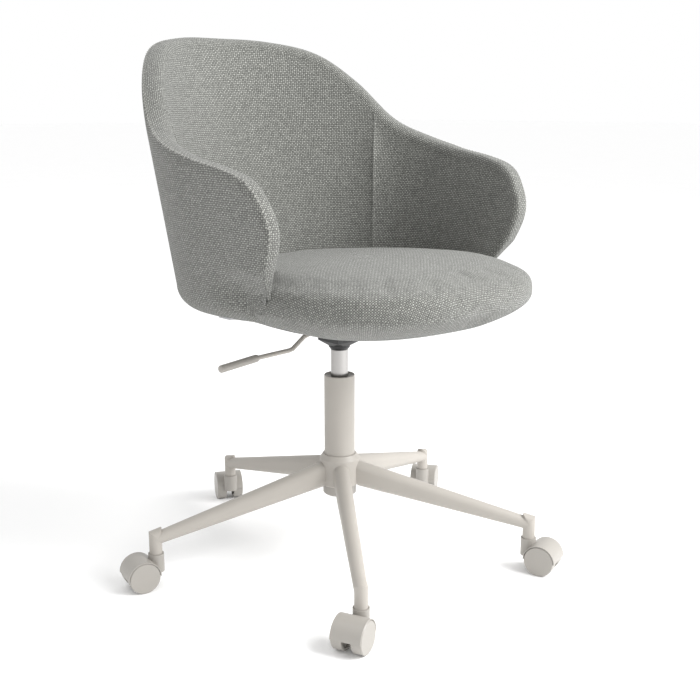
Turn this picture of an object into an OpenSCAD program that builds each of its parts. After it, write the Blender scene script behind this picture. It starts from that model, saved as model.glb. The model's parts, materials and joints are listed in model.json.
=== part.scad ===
// Swivel office chair: an upholstered tub shell and seat on a gas lift and a
// five-star base with twin-wheel casters.
// The origin is on the floor under the column axis, +Z is up, and a sitter
// faces -Y. The chair is drawn at its lowest height. Millimetres.

/* [Base] */
// Distance from the column axis to each caster stem
stem_circle_r = 313; // [306:1:320]
// Height of the upper corner at the outer end of each leg
leg_tip_top_z = 87; // [84:1:92]
// Height of a leg at the hub
leg_root_h = 43; // [40:1:44]
// Width of a leg at the hub
leg_root_w = 26; // [24:1:28]
// Diameter of the leg's outer end and of its vertical stub
stub_d = 20; // [19:0.5:21]

/* [Column] */
// Height of the top of the hub
hub_top_z = 176; // [174:1:180]
// Diameter of the hub where the legs meet it
hub_d = 66; // [62:1:70]
// Diameter of the outer column tube
column_d = 50; // [50:1:50]
// Height of the top of the outer column tube
column_top_z = 309; // [300:1:312]
// Diameter of the sliding gas cylinder
cylinder_d = 28; // [28:1:28]
// Height adjustment of the gas lift
lift_stroke = 80; // [60:5:80]

/* [Casters] */
// Diameter of a caster wheel
wheel_d = 48.4; // [47:0.2:49]
// Distance from the stem axis to the axle
caster_trail = 26; // [25:0.5:27]
// Width over both wheels of a caster
caster_w = 47.8; // [46:0.2:50]
// Diameter of the hood's neck around the stem
neck_d = 24.6; // [24:0.2:26]

/* [Seat] */
// Half the width of the seat pad at its widest
seat_half_w = 240; // [236:1:244]
// Distance from the column axis to the front of the seat pad
seat_front = 308; // [300:1:314]
// Height of the middle of the seat
seat_top_z = 506; // [500:1:510]
// Height at which the seat's edge is widest
seat_edge_z = 457; // [455:1:460]

/* [Shell] */
// Half the width of the shell's middle surface at seat height
shell_half_w = 237; // [235:1:240]
// Depth of the shell's middle surface behind its centre
shell_depth = 180; // [176:1:184]
// Thickness of the upholstered shell
shell_t = 38; // [36:1:40]
// Outward lean of the back, as a slope
back_lean = 0.30; // [0.26:0.01:0.32]
// Outward lean of the arms, as a slope
arm_lean = 0.13; // [0.11:0.01:0.14]

/* [Lever] */
// Distance from the column axis to the end of the lever's grip
lever_reach = 250; // [245:1:255]
// Diameter of the lever's rod
lever_d = 7; // [6:0.5:8]
// Diameter of the lever's grip
grip_d = 11.5; // [11:0.5:12]

/* [Hidden] */
$fn = 64;
greige = [0.80, 0.78, 0.75];
cloth = [0.60, 0.60, 0.58];
steel = [0.72, 0.72, 0.74];
black = [0.08, 0.08, 0.08];
foam = [0.86, 0.84, 0.78];
wood = [0.76, 0.62, 0.44];
gap = 0.4;                 // space between neighbouring soft or moulded pieces
fit = 0.05;                // radial clearance of a running fit
pad_gap = 1.2;             // space between the shell's core and its padding

// Each leg's direction, from the sitter's front (-Y) towards +X, and the
// direction its caster trails, from +X towards +Y
LEG_AZ = [36, 108, 180, -108, -36];
TRAIL_AZ = [-72, 34, 64, 167, -158];

wheel_r = wheel_d / 2;
well_r = wheel_r + 0.7;    // hood's inner radius over the wheels
hood_r = well_r + 1.4;
spine_w = 13;              // web of the hood between the wheels
axle_r = 3;
stem_r = 5;
collar_z = 53.3;           // top of the hood's neck
stub_bottom_z = collar_z - 1;
leg_tip_bottom_z = leg_tip_top_z - stub_d;
leg_root_top_z = 165;
hub_bottom_z = 124;
tube_wall = 1.5;
tube_bottom_z = 112;

socket_z = 352;            // underside of the mechanism's boss
plate_z = 404;             // top of the mechanism's housing
plate_t = 3.5;
rail_z = plate_z + plate_t + gap;
rail_h = 31;
rail_w = 180;
board_z = rail_z + rail_h + gap;
board_t = 12;
board_top_z = board_z + board_t;
cylinder_bottom_z = 132;
cylinder_top_z = 376;
lever_y = -20;
lever_z = 389;
pivot_x = -17;
housing_half = 24.5;
housing_floor_z = 366;

seat_back = 194;           // hidden rear edge of the seat pad
seat_c = (seat_back - seat_front) / 2;
seat_half_d = (seat_back + seat_front) / 2;
seat_plan_n = 2.5;         // squareness of the seat's plan
seat_top_n = 3.5;          // squareness of its upper edge
seat_low_n = 1.7;          // squareness of its underside
seat_bottom_z = 392;
under_rho = 0.70;          // opening in the underside, as a fraction of the plan
seat_clear = 2.5;          // space between the seat's padding and the shell's

shell_c = 19;              // centre of the shell's plan, in y
shell_n = 2.0;             // squareness of the shell's plan
shell_front = 780;         // forward half-axis of the nearly straight arms
lean_z = 440;              // height at which the lean is zero
skirt_z = 470;             // where the skirt starts to turn under
skirt_r = 45;
core_t = 8;                // moulded core inside the upholstery
half_t = shell_t / 2;
arm_thin = 11;             // how much thinner the arms are, on their inner side
foot_phi = 116.5;          // where the arm's foot meets the seat
foot_y = -121;             // front of the foot with its rolled edge

// Upper edge of the shell: [angle from the back's centre, height]
RIM = [
    [0, 830], [20, 827], [38, 809], [52, 763], [66, 698], [80, 667], [95, 648],
    [110, 639], [119, 627], [123, 605], [125.3, 571], [123, 531], [foot_phi, 490]
];
RIM_STEP = 2;              // stations to each span of the rim
HALF = RIM_STEP * (len(RIM) - 1);

// ---------------------------------------------------------------- base

module ring(r_in, r_out, z0, z1) {
    translate([0, 0, z0])
        difference() {
            cylinder(r = r_out, h = z1 - z0);
            translate([0, 0, -1]) cylinder(r = r_in, h = z1 - z0 + 2);
        }
}

// Turned five-way hub with a chamfered top and a bore for the column
module hub() {
    color(greige)
        rotate_extrude()
            polygon([
                [column_d / 2 + fit, hub_bottom_z], [hub_d / 2 - 2, hub_bottom_z],
                [hub_d / 2, hub_bottom_z + 2], [hub_d / 2, hub_top_z - 8],
                [column_d / 2 + 2.5, hub_top_z], [column_d / 2 + fit, hub_top_z]
            ]);
}

// Plastic cup that closes the underside of the hub
module hub_cap() {
    cap_r = 27.5;
    color(greige)
        rotate_extrude()
            polygon([
                [14, 107], [cap_r - 2, 107], [cap_r, 109], [cap_r, hub_bottom_z - fit],
                [column_d / 2 + gap, hub_bottom_z - fit], [column_d / 2 + gap, 109],
                [14, 109]
            ]);
}

// One end of a leg's tube, as a thin slice across the leg
module leg_slice(r, z_low, z_high, w) {
    r_top = w / 2;
    translate([r, 0, 0]) rotate([90, 0, 90])
        linear_extrude(0.1) {
            translate([0, z_high - r_top]) circle(r = r_top, $fn = 32);
            translate([0, z_low + r_top]) circle(r = r_top, $fn = 32);
        }
}

// Straight tapered beam from the hub out past the stem
module leg_beam(r_end) {
    hull() {
        leg_slice(hub_d / 2 - 6, leg_root_top_z - leg_root_h, leg_root_top_z, leg_root_w);
        leg_slice(r_end, leg_tip_bottom_z, leg_tip_top_z, stub_d);
    }
}

// Leg along +X: the beam, its mitred corner and the stub that takes the stem
module leg() {
    color(greige)
        difference() {
            union() {
                leg_beam(stem_circle_r);
                intersection() {
                    leg_beam(stem_circle_r + stub_d);
                    translate([stem_circle_r, 0, 40]) cylinder(d = stub_d, h = 80);
                }
                translate([stem_circle_r, 0, stub_bottom_z])
                    cylinder(d = stub_d, h = leg_tip_bottom_z + stub_d / 2 - stub_bottom_z);
            }
            cylinder(r = hub_d / 2 + fit, h = 200);
            translate([stem_circle_r, 0, stub_bottom_z - 1]) cylinder(r = stem_r + fit, h = 20);
        }
}

module leg_at(k) { rotate([0, 0, LEG_AZ[k] - 90]) leg(); }

// ------------------------------------------------------------- column

// Outer tube, closed at the bottom but for the hole of the piston rod
module column_tube() {
    r = column_d / 2;
    color(greige)
        rotate_extrude()
            polygon([
                [stem_r + fit, tube_bottom_z], [r, tube_bottom_z], [r, column_top_z - 1],
                [r - 0.5, column_top_z], [r - tube_wall, column_top_z],
                [r - tube_wall, tube_bottom_z + 3], [stem_r + fit, tube_bottom_z + 3]
            ]);
}

// Plastic bush in the top of the tube, dished around the cylinder
module guide_bush() {
    r = column_d / 2 - tube_wall - fit;
    bore = cylinder_d / 2 + fit;
    color(greige)
        rotate_extrude()
            polygon([
                [bore, column_top_z - 80], [r, column_top_z - 80], [r, column_top_z - 0.8],
                [r - 1.5, column_top_z - 0.8], [bore + 1.5, column_top_z - 3.5],
                [bore, column_top_z - 3.5]
            ]);
}

module thrust_bearing() { color(steel) ring(stem_r + 0.5, 13, 115.2, 119.2); }

module rod_washer() { color(steel) ring(stem_r + fit, 12, 119.5, 121); }

module rubber_bumper() { color(black) ring(stem_r + gap, 13, 121.3, cylinder_bottom_z - 0.3); }

// Rod with the piston at its top and a groove for the clip at its foot
module piston_rod() {
    piston_z = cylinder_top_z - 46;
    piston_r = cylinder_d / 2 - 2 - 0.08;
    color(steel)
        rotate_extrude()
            polygon([
                [0, 107], [stem_r - 0.5, 107], [stem_r, 107.5], [stem_r, 109.5], [stem_r - 1, 109.5],
                [stem_r - 1, 111], [stem_r, 111], [stem_r, piston_z],
                [piston_r, piston_z], [piston_r, piston_z + 12], [0, piston_z + 12]
            ]);
}

module retaining_clip() { color(steel) ring(stem_r - 0.95, 9, 109.7, 110.8); }

// Pressurised cylinder with a stepped neck for the mechanism's socket
module gas_cylinder() {
    r = cylinder_d / 2;
    color(steel)
        rotate_extrude()
            polygon([
                [r - 2, cylinder_bottom_z], [r, cylinder_bottom_z], [r, socket_z - 1],
                [r - 0.7, socket_z - 0.3], [r - 0.7, cylinder_top_z],
                [3 + fit, cylinder_top_z], [3 + fit, cylinder_top_z - 6],
                [r - 2, cylinder_top_z - 6]
            ]);
}

module rod_guide() {
    color(black)
        ring(stem_r + fit, cylinder_d / 2 - 2 - fit, cylinder_bottom_z, cylinder_bottom_z + 14);
}

// Valve pin with a button that the lever presses
module release_pin() {
    color(steel) {
        translate([0, 0, cylinder_top_z - 14]) cylinder(r = 3, h = 20.5);
        translate([0, 0, cylinder_top_z + 6]) cylinder(r = 5, h = 3);
    }
}

// ------------------------------------------------------------- casters

// Places a part drawn with its stem on the Z axis and its axle towards +X
module on_caster(k) {
    rotate([0, 0, LEG_AZ[k] - 90]) translate([stem_circle_r, 0, 0])
        rotate([0, 0, TRAIL_AZ[k] - LEG_AZ[k] + 90]) children();
}

module across(x, z, r, w) {
    translate([x, w / 2, z]) rotate([90, 0, 0]) cylinder(r = r, h = w);
}

module caster_stems() {
    color(steel)
        for (k = [0:4]) on_caster(k)
            translate([0, 0, 30]) cylinder(r = stem_r, h = 40);
}

// Half-round cover over both wheels, with a neck, a web and the two bores
module hood() {
    color(greige)
        difference() {
            union() {
                intersection() {
                    across(caster_trail, wheel_r, hood_r, caster_w - 1);
                    translate([-50, -50, wheel_r]) cube([150, 100, 60]);
                }
                translate([0, 0, wheel_r]) cylinder(d = neck_d, h = collar_z - wheel_r);
                across(caster_trail, wheel_r, 8, spine_w - 1);
            }
            for (side = [-1, 1])
                translate([0, side * (spine_w / 2 + 20), 0])
                    across(caster_trail, wheel_r, well_r, 40);
            translate([-neck_d / 2 - 5, -20, wheel_r - 5]) rotate([0, -30, 0])
                translate([-20, 0, -20]) cube([20, 40, 40]);
            translate([0, 0, 29]) cylinder(r = stem_r + fit, h = 40);
            translate([0, 0, collar_z - 2]) cylinder(r = stub_d / 2 + 0.6, h = 3);
            across(caster_trail, wheel_r, axle_r + 0.01, 40);
        }
}

module axle() {
    color(steel) across(caster_trail, wheel_r, axle_r, caster_w - 8);
}

// Moulded wheel with a flat outer face and a blind hub
module wheel(side) {
    inner = spine_w / 2 + 0.6;
    outer = caster_w / 2;
    face_r = wheel_r - 1;
    color(greige)
        translate([caster_trail, 0, wheel_r]) rotate([-90 * side, 0, 0])
            rotate_extrude()
                polygon([
                    [axle_r + fit, inner], [9, inner], [9, inner + 3], [wheel_r - 4, inner + 3],
                    [wheel_r - 4, inner], [wheel_r - 1, inner], [wheel_r, inner + 1],
                    [wheel_r, outer - 1.2], [face_r, outer], [0, outer],
                    [0, outer - 3], [axle_r + fit, outer - 3]
                ]);
}

// ----------------------------------------------------------- mechanism

// Pressed housing with a tapering floor, the cylinder's socket and a slot
// for the lever
module mech_housing() {
    color(black)
        difference() {
            union() {
                hull() {
                    translate([-housing_half, -housing_half, housing_floor_z])
                        cube([2 * housing_half, 2 * housing_half, plate_z - housing_floor_z]);
                    translate([0, 0, housing_floor_z - 8]) cylinder(r = 17.5, h = 1);
                }
                translate([0, 0, 356]) cylinder(r = 17.5, h = 10);
                translate([0, 0, socket_z]) cylinder(r1 = 14.6, r2 = 17.5, h = 4);
            }
            translate([0, 0, socket_z - 1]) cylinder(d = cylinder_d - 1.4 + 2 * fit, h = 60);
            translate([3 - housing_half, 3 - housing_half, cylinder_top_z + 2])
                cube([2 * housing_half - 6, 2 * housing_half - 6, 60]);
            translate([-60, -6, lever_z - 8]) cube([50, 12, 60]);
            across(pivot_x, lever_z, 2.01, 80);
        }
}

// Mounting plate with four bolt holes
module mech_plate() {
    color(black)
        difference() {
            translate([0, 0, plate_z + 0.1])
                linear_extrude(plate_t - 0.1) rounded_rect(150, 172, 12);
            bolt_places() translate([0, 0, plate_z - 1]) cylinder(r = 3.4, h = 10);
        }
}

module rounded_rect(w, d, r) {
    union() {
        square([w - 2 * r, d], center = true);
        square([w, d - 2 * r], center = true);
        for (x = [-1, 1], y = [-1, 1])
            translate([x * (w / 2 - r), y * (d / 2 - r)]) circle(r = r);
    }
}

module bolt_places() {
    for (x = [-58, 58], y = [-70, 70]) translate([x, y, 0]) children();
}

module mount_bolts() {
    color(steel)
        bolt_places() {
            translate([0, 0, plate_z - 4]) cylinder(r = 6, h = 4, $fn = 6);
            translate([0, 0, plate_z - 1]) cylinder(r = 3, h = 30);
        }
}

module tee_nuts() {
    top = rail_z + rail_h;
    color(steel)
        bolt_places() {
            ring(3 + fit, 9, top - 1.6, top - 0.1);
            ring(3 + fit, 4.4, top - 12, top - 1.6);
        }
}

module pivot_pin() { color(steel) across(pivot_x, lever_z, 2, 2 * housing_half - 1); }

// Points of the lever: over the pin, outside the housing, bends, grip, end
LEVER = [
    [5, 0, lever_z], [-48, 0, lever_z], [-56, -2, lever_z], [-82, lever_y + 1, lever_z],
    [-90, lever_y, lever_z - 1.5], [-113, lever_y, 371.7], [-120, lever_y, 370.4],
    [-186, lever_y, 368.2]
];
GRIP = [[-180, lever_y, 368.4], [4 - lever_reach, lever_y, 362.2]];
ROD_SIDES = 12;

function unit(v) = v / norm(v);

// Rod with a round section along a list of points
module swept_rod(path, r) {
    last = len(path) - 1;
    points = [
        for (i = [0:last])
            let (
                ahead = unit(path[min(i + 1, last)] - path[max(i - 1, 0)]),
                side = unit(cross(ahead, [0, 0, 1])),
                up = cross(ahead, side)
            )
            for (k = [0:ROD_SIDES - 1])
                path[i] + r * (cos(360 * k / ROD_SIDES) * side + sin(360 * k / ROD_SIDES) * up)
    ];
    sides = [
        for (i = [0:last - 1]) for (k = [0:ROD_SIDES - 1])
            let (n = (k + 1) % ROD_SIDES, a = i * ROD_SIDES, b = a + ROD_SIDES)
                [a + k, b + k, b + n, a + n]
    ];
    caps = [
        [for (k = [0:ROD_SIDES - 1]) k],
        [for (k = [ROD_SIDES - 1:-1:0]) last * ROD_SIDES + k]
    ];
    polyhedron(points = points, faces = concat(sides, caps), convexity = 4);
}

// Bent rod with a barrel on the pivot pin
module lever_rod() {
    color(greige)
        difference() {
            union() {
                swept_rod(LEVER, lever_d / 2);
                across(pivot_x, lever_z, 5, 9);
            }
            across(pivot_x, lever_z, 2 + fit, 20);
        }
}

// Round grip over the outer end of the rod, with a domed end and a tapered neck
module lever_grip() {
    v = GRIP[1] - GRIP[0];
    r = grip_d / 2;
    length = norm(v);
    color(greige)
        translate(GRIP[0]) rotate([0, acos(v[2] / length), atan2(v[1], v[0])])
            rotate_extrude()
                polygon(concat(
                    [[0, 8], [lever_d / 2 + gap, 8], [lever_d / 2 + gap, 0], [r - 1, 0], [r, 3]],
                    [for (a = [0:15:75]) [r * cos(a), length + r * 0.7 * sin(a)]],
                    [[0, length + r * 0.7]]
                ));
}

// ------------------------------------------------------- seat surfaces

// Point on the seat's plan at angle u and fraction rho of its outline
function signed_pow(v, e) = sign(v) * pow(abs(v), e);
function seat_xy(u, rho) = [
    seat_half_w * rho * signed_pow(cos(u), 2 / seat_plan_n),
    seat_c + seat_half_d * rho * signed_pow(sin(u), 2 / seat_plan_n)
];

// Height of the seat's underside and top at fraction rho
function seat_low(rho) =
    seat_edge_z - (seat_edge_z - seat_bottom_z) * pow(1 - pow(rho, seat_low_n), 1 / seat_low_n);
function seat_high(rho) =
    seat_edge_z + (seat_top_z - seat_edge_z) * pow(1 - pow(rho, seat_top_n), 1 / seat_top_n);

// Keeps a plan point inside the shell at height z, at distance o from its
// middle surface
function tucked(p, o, z) =
    let (
        rise = max(z, skirt_z) - lean_z,
        a = shell_half_w + o + arm_lean * rise,
        b = shell_depth + o + back_lean * rise,
        dy = p[1] - shell_c,
        r = dy > 0
            ? pow(pow(abs(p[0]) / a, shell_n) + pow(dy / b, shell_n), 1 / shell_n)
            : abs(p[0]) / a,
        s = (p[1] < foot_y || r < 1) ? 1 : 1 / r
    )
    [p[0] * s, dy > 0 ? shell_c + dy * s : p[1]];

SEAT_TURN = 72;

// Closed solid made by carrying a profile of [rho, z] points round the plan
module round_plan(profile, o) {
    count = len(profile);
    points = [
        for (p = profile) for (k = [0:SEAT_TURN - 1])
            let (q = tucked(seat_xy(360 * k / SEAT_TURN, p[0]), o, p[1])) [q[0], q[1], p[1]]
    ];
    first_mid = len(points);
    middles = [[0, seat_c, profile[0][1]], [0, seat_c, profile[count - 1][1]]];
    sides = [
        for (i = [0:count - 2]) for (k = [0:SEAT_TURN - 1])
            let (n = (k + 1) % SEAT_TURN)
                [i * SEAT_TURN + k, (i + 1) * SEAT_TURN + k, (i + 1) * SEAT_TURN + n, i * SEAT_TURN + n]
    ];
    last = (count - 1) * SEAT_TURN;
    caps = [
        for (k = [0:SEAT_TURN - 1])
            let (n = (k + 1) % SEAT_TURN)
                each [[first_mid, k, n], [first_mid + 1, last + n, last + k]]
    ];
    polyhedron(points = concat(points, middles), faces = concat(sides, caps), convexity = 6);
}

// Foam seat pad with a crowned top, flat where it rests on the board
module seat_cushion() {
    low = board_top_z + gap;
    color(cloth)
        round_plan(concat(
            [[0.96, low]],
            [for (w = [0:12:84]) [pow(cos(w), 2 / seat_top_n), seat_high(pow(cos(w), 2 / seat_top_n))]]
        ), -half_t - seat_clear);
}

// Padded underside from the board's edge down to the dust cover
module seat_under_pad() {
    top = board_z - gap;
    color(cloth)
        difference() {
            round_plan(concat(
                [for (rho = [under_rho, 0.76, 0.83, 0.89, 0.95]) [rho, seat_low(rho)]],
                [[0.99, board_top_z]]
            ), -skirt_r + half_t - seat_clear);
            translate([0, 0, top]) linear_extrude(board_t * 2) board_outline(gap);
            translate([0, 0, top - 60]) linear_extrude(61) rounded_rect(rail_w + 10, 184, 5);
        }
}

// Plan of the plywood board: inside the shell's core, then round the front
module board_outline(grow) {
    back = [
        for (phi = [-96:8:96])
            let (p = shell_point(phi, skirt_z, grow - core_t / 2 - gap)) [p[0], p[1]]
    ];
    front = [for (u = [-12:-12:-168]) seat_xy(u, 0.9) + [0, -grow]];
    polygon(concat(back, front));
}

module seat_board() {
    color(wood)
        difference() {
            translate([0, 0, board_z]) linear_extrude(board_t) board_outline(0);
            tab_places() translate([0, 0, board_z - 1]) cylinder(r = 2.05, h = 11);
        }
}

module rail_places() { for (y = [-70, 70]) translate([0, y, 0]) children(); }

module seat_rails() {
    color(wood)
        difference() {
            rail_places() translate([-rail_w / 2, -18, rail_z]) cube([rail_w, 36, rail_h]);
            bolt_places() {
                translate([0, 0, rail_z - 1]) cylinder(r = 4.5, h = rail_h + 2);
                translate([0, 0, rail_z + rail_h - 1.7]) cylinder(r = 9.2, h = 3);
            }
        }
}

// Black cloth under the padding, cut out round the two rails
module dust_cover() {
    color(black)
        difference() {
            translate([0, 0, seat_low(under_rho) - 1.6]) linear_extrude(1.2)
                polygon([for (k = [0:SEAT_TURN - 1])
                    seat_xy(360 * k / SEAT_TURN, under_rho - 0.02)]);
            rail_places() translate([-rail_w / 2 - 1, -19, rail_z]) cube([rail_w + 2, 38, rail_h]);
        }
}

// ------------------------------------------------------ shell surfaces

// The shell's plan, by the angle from the middle of the back
function shell_xy(phi) =
    let (
        b = cos(phi) >= 0 ? shell_depth : shell_front,
        r = pow(pow(abs(sin(phi)) / shell_half_w, shell_n) + pow(abs(cos(phi)) / b, shell_n),
                -1 / shell_n)
    )
    [r * sin(phi), shell_c + r * cos(phi)];

// Outward direction in plan
function shell_out(phi) =
    let (d = shell_xy(phi + 0.5) - shell_xy(phi - 0.5), n = norm(d)) [-d[1] / n, d[0] / n];

// The lean passes smoothly from the back to the arms
function shell_lean(phi) =
    let (w = min(abs(phi) / 90, 1), s = w * w * (3 - 2 * w)) back_lean * (1 - s) + arm_lean * s;

// A point at angle phi and height z, at distance o outside the middle surface
function shell_point(phi, z, o) =
    let (d = shell_out(phi) * (o + shell_lean(phi) * (max(z, skirt_z) - lean_z)), p = shell_xy(phi))
    [p[0] + d[0], p[1] + d[1], z];

// Smooth curve through the rim's points
function rim_knot(i) = i < 0 ? [-RIM[-i][0], RIM[-i][1]]
    : i > len(RIM) - 1 ? 2 * RIM[len(RIM) - 1] - RIM[len(RIM) - 2] : RIM[i];
function smooth(a, b, c, d, t) =
    (2 * b + (c - a) * t + (2 * a - 5 * b + 4 * c - d) * t * t
     + (3 * b - a - 3 * c + d) * t * t * t) / 2;
function rim_half(s) =
    let (i = min(floor(s), len(RIM) - 2), t = s - i)
    smooth(rim_knot(i - 1), rim_knot(i), rim_knot(i + 1), rim_knot(i + 2), t);
function rim(k) =
    let (r = rim_half(abs(k) / RIM_STEP)) [k < 0 ? -r[0] : r[0], r[1]];
function foot(k) = foot_phi * sin(90 * k / HALF);

// A point of station k, at fraction v of the way from the skirt to the rim
function rib(k, v, o) =
    let (r = rim(k), f = foot(k))
    shell_point(f + (r[0] - f) * v, skirt_z + (r[1] - skirt_z) * v, o);

// A point of the rolled edge, at distance o out and h beyond the rim
function beyond(k, o, h) =
    let (
        a = rib(max(k - 0.5, -HALF), 1, 0),
        b = rib(min(k + 0.5, HALF), 1, 0),
        out = concat(shell_out(rim(k)[0]), [0]),
        e = cross(out, b - a),
        p = rib(k, 1, o)
    )
    p - e / norm(e) * h;

// A point of the skirt that turns under, by angle, at radius r
function under(k, angle, r) =
    let (p = shell_point(foot(k), skirt_z, half_t - skirt_r + r * cos(angle)))
    [p[0], p[1], skirt_z - r * sin(angle)];

function below(k, z, o) = let (p = shell_point(foot(k), skirt_z, o)) [p[0], p[1], z];

// Closed solid between two families of points, one pair of rows per station
module between(rows_a, rows_b) {
    stations = len(rows_a);
    n = len(rows_a[0]);
    b0 = stations * n;
    points = concat([for (row = rows_a) each row], [for (row = rows_b) each row]);
    faces = concat(
        [for (s = [0:stations - 2]) for (i = [0:n - 2])
            [(s + 1) * n + i, (s + 1) * n + i + 1, s * n + i + 1, s * n + i]],
        [for (s = [0:stations - 2]) for (i = [0:n - 2])
            [b0 + s * n + i + 1, b0 + (s + 1) * n + i + 1, b0 + (s + 1) * n + i, b0 + s * n + i]],
        [for (s = [0:stations - 2])
            [b0 + s * n, b0 + (s + 1) * n, (s + 1) * n, s * n]],
        [for (s = [0:stations - 2])
            [(s + 1) * n + n - 1, b0 + (s + 1) * n + n - 1, b0 + s * n + n - 1, s * n + n - 1]],
        [for (i = [0:n - 2]) [i + 1, b0 + i + 1, b0 + i, i]],
        [for (i = [0:n - 2])
            let (s = (stations - 1) * n) [b0 + s + i, b0 + s + i + 1, s + i + 1, s + i]]
    );
    polyhedron(points = points, faces = faces, convexity = 10);
}

// Distance of the padding's inner face inside the middle surface
function inner_t(k) =
    let (w = max(0, min((abs(rim(k)[0]) - 60) / 50, 1))) half_t - arm_thin * w * w * (3 - 2 * w);

STATIONS = [-HALF:1:HALF];
CORE_STATIONS = [5 - HALF:1:HALF - 5];
SIDE = [0, 0.25, 0.5, 0.75, 1];
roll_h = half_t * 0.9;

// Moulded core that the padding is stretched over, ending short of the arms' fronts
module shell_core() {
    c = core_t / 2;
    color(black)
        between(
            [for (k = CORE_STATIONS)
                concat([below(k, board_z + gap, c)], [for (v = SIDE) rib(k, v, c)])],
            [for (k = CORE_STATIONS)
                concat([below(k, board_z + gap, -c)], [for (v = SIDE) rib(k, v, -c)])]
        );
}

// Outer padding with its skirt and the outer half of the rolled edge
module shell_outer_pad() {
    c = core_t / 2 + pad_gap;
    hem = board_z - 7;
    color(cloth)
        between(
            [for (k = STATIONS) concat(
                [for (a = [90:-22.5:22.5]) under(k, a, skirt_r)],
                [for (v = SIDE) rib(k, v, half_t)],
                [beyond(k, half_t * 0.87, roll_h * 0.5), beyond(k, half_t * 0.5, roll_h * 0.87),
                 beyond(k, pad_gap, roll_h)])],
            [for (k = STATIONS) concat(
                [below(k, hem, half_t - skirt_r), below(k, hem, -14), below(k, hem, -4),
                 below(k, hem + 8, c)],
                [for (v = SIDE) rib(k, v, c)],
                [beyond(k, c, gap), beyond(k, c * 0.5, pad_gap), beyond(k, pad_gap, pad_gap)])]
        );
}

// Inner padding with the inner half of the rolled edge
module shell_inner_pad() {
    c = core_t / 2 + pad_gap;
    low = board_top_z + gap;
    color(cloth)
        between(
            [for (k = STATIONS) concat(
                [below(k, low, -c)], [for (v = SIDE) rib(k, v, -c)],
                [beyond(k, -c, gap), beyond(k, -c * 0.5, pad_gap), beyond(k, 0, pad_gap)])],
            [for (k = STATIONS) concat(
                [below(k, low, -inner_t(k))], [for (v = SIDE) rib(k, v, -inner_t(k))],
                [beyond(k, -inner_t(k) * 0.87, roll_h * 0.5),
                 beyond(k, -inner_t(k) * 0.5, roll_h * 0.87), beyond(k, 0, roll_h)])]
        );
}

// Places along the shell's foot where it is screwed to the board
TAB_PHI = [-100, -60, -20, 20, 60, 100];
tab_hole = 15;             // distance of a tab's screw inside the middle surface
module tab_places() {
    for (phi = TAB_PHI)
        let (p = shell_point(phi, skirt_z, -tab_hole), out = shell_out(phi))
            translate([p[0], p[1], 0]) rotate([0, 0, atan2(out[1], out[0])]) children();
}

// Steel tabs under the board's edge and the core's lower edge
module shell_tabs() {
    color(steel)
        tab_places() translate([0, 0, board_z - gap - 3])
            difference() {
                translate([-10, -14, 0]) cube([24, 28, 3]);
                translate([0, 0, -1]) cylinder(r = 2.6, h = 5);
            }
}

module tab_screws() {
    color(steel)
        tab_places() {
            translate([0, 0, board_z - 5.6]) cylinder(r = 4.5, h = 2);
            translate([0, 0, board_z - 4]) cylinder(r = 2, h = 13);
        }
}

// ---------------------------------------------------------------- nodes

hub();
hub_cap();
leg_at(0);  // leg_1
leg_at(1);  // leg_2
leg_at(2);  // leg_3
leg_at(3);  // leg_4
leg_at(4);  // leg_5
column_tube();
guide_bush();
thrust_bearing();
caster_stems();
on_caster(0) hood();  // hood_1
on_caster(1) hood();  // hood_2
on_caster(2) hood();  // hood_3
on_caster(3) hood();  // hood_4
on_caster(4) hood();  // hood_5
on_caster(0) axle();  // axle_1
on_caster(1) axle();  // axle_2
on_caster(2) axle();  // axle_3
on_caster(3) axle();  // axle_4
on_caster(4) axle();  // axle_5
on_caster(0) wheel(-1);  // wheel_1_left
on_caster(0) wheel(1);  // wheel_1_right
on_caster(1) wheel(-1);  // wheel_2_left
on_caster(1) wheel(1);  // wheel_2_right
on_caster(2) wheel(-1);  // wheel_3_left
on_caster(2) wheel(1);  // wheel_3_right
on_caster(3) wheel(-1);  // wheel_4_left
on_caster(3) wheel(1);  // wheel_4_right
on_caster(4) wheel(-1);  // wheel_5_left
on_caster(4) wheel(1);  // wheel_5_right
piston_rod();
retaining_clip();
rod_washer();
rubber_bumper();
gas_cylinder();
rod_guide();
release_pin();
mech_housing();
mech_plate();
mount_bolts();
tee_nuts();
pivot_pin();
lever_rod();
lever_grip();
seat_rails();
seat_board();
seat_cushion();
seat_under_pad();
dust_cover();
shell_core();
shell_tabs();
tab_screws();
shell_outer_pad();
shell_inner_pad();
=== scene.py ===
"""Looks of the swivel office chair: its cloth, paint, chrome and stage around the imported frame."""

import json
import math

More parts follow.
